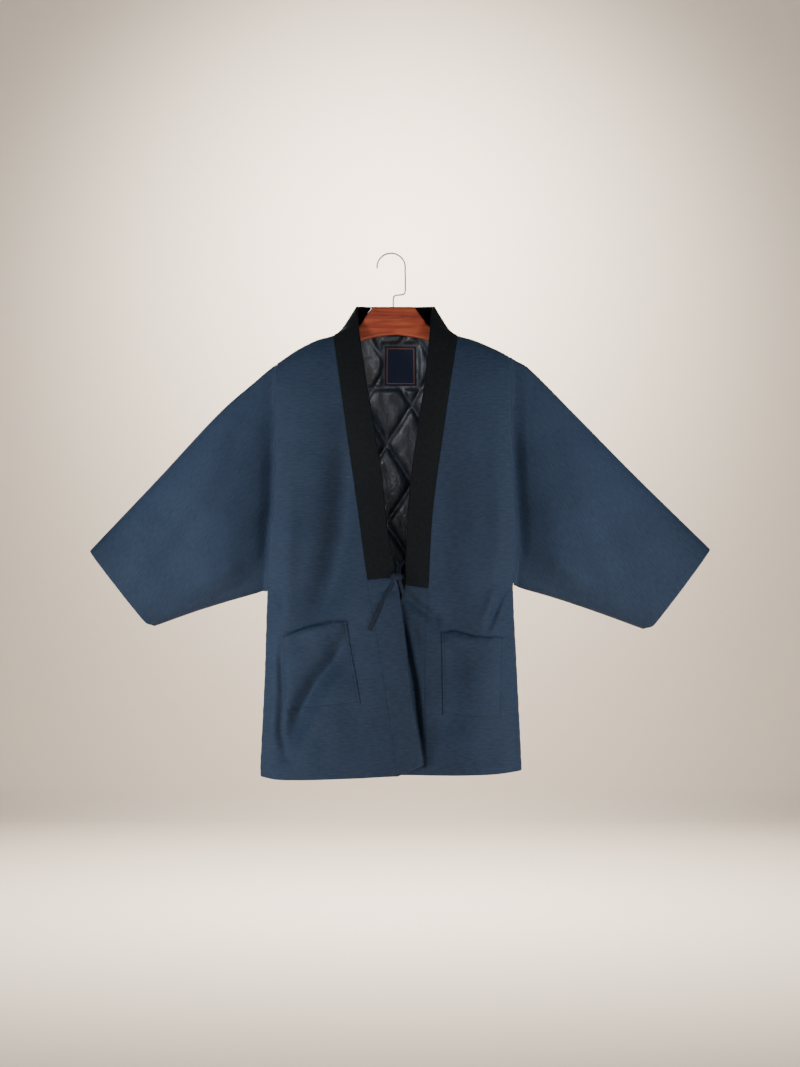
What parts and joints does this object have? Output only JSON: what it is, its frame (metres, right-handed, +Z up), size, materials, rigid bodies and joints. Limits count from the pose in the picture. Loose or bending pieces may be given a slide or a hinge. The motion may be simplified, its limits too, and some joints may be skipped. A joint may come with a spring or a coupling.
{
  "type": "haori on a wooden hanger",
  "caption": "Short padded kimono jacket with a dark collar band, wide sleeves, patch pockets and chest ties, hanging flat on a wooden hanger with a wire hook.",
  "frame": {"origin": "inside top of the hanger's hook, where it hangs on a nail", "axes": "+Z up, -Y the front of the garment, +X the wearer's left"},
  "size_m": [1.118, 0.1281, 0.9468],
  "materials": {
    "cloth": "matt navy slub cotton over wadding",
    "collar": "matt black cotton",
    "lining": "quilted black satin",
    "label": "bare woven navy label with a thin border",
    "wood": "varnished reddish wood",
    "wire": "polished steel wire"
  },
  "bodies": {
    "root": {"back": "cloth", "front_right": "cloth", "front_left": "cloth", "sleeve_right": "cloth", "sleeve_left": "cloth", "band_right": "cloth", "band_left": "cloth", "pocket_right": "cloth", "pocket_left": "cloth", "tie_knot": "cloth", "tie_long": "cloth", "tie_short": "cloth", "tie_strand_right": "cloth", "tie_strand_left": "cloth", "collar": "collar", "lining_back": "lining", "label": "label", "hanger_wood": "wood", "hanger_hook": "wire"}
  },
  "joints": []
}
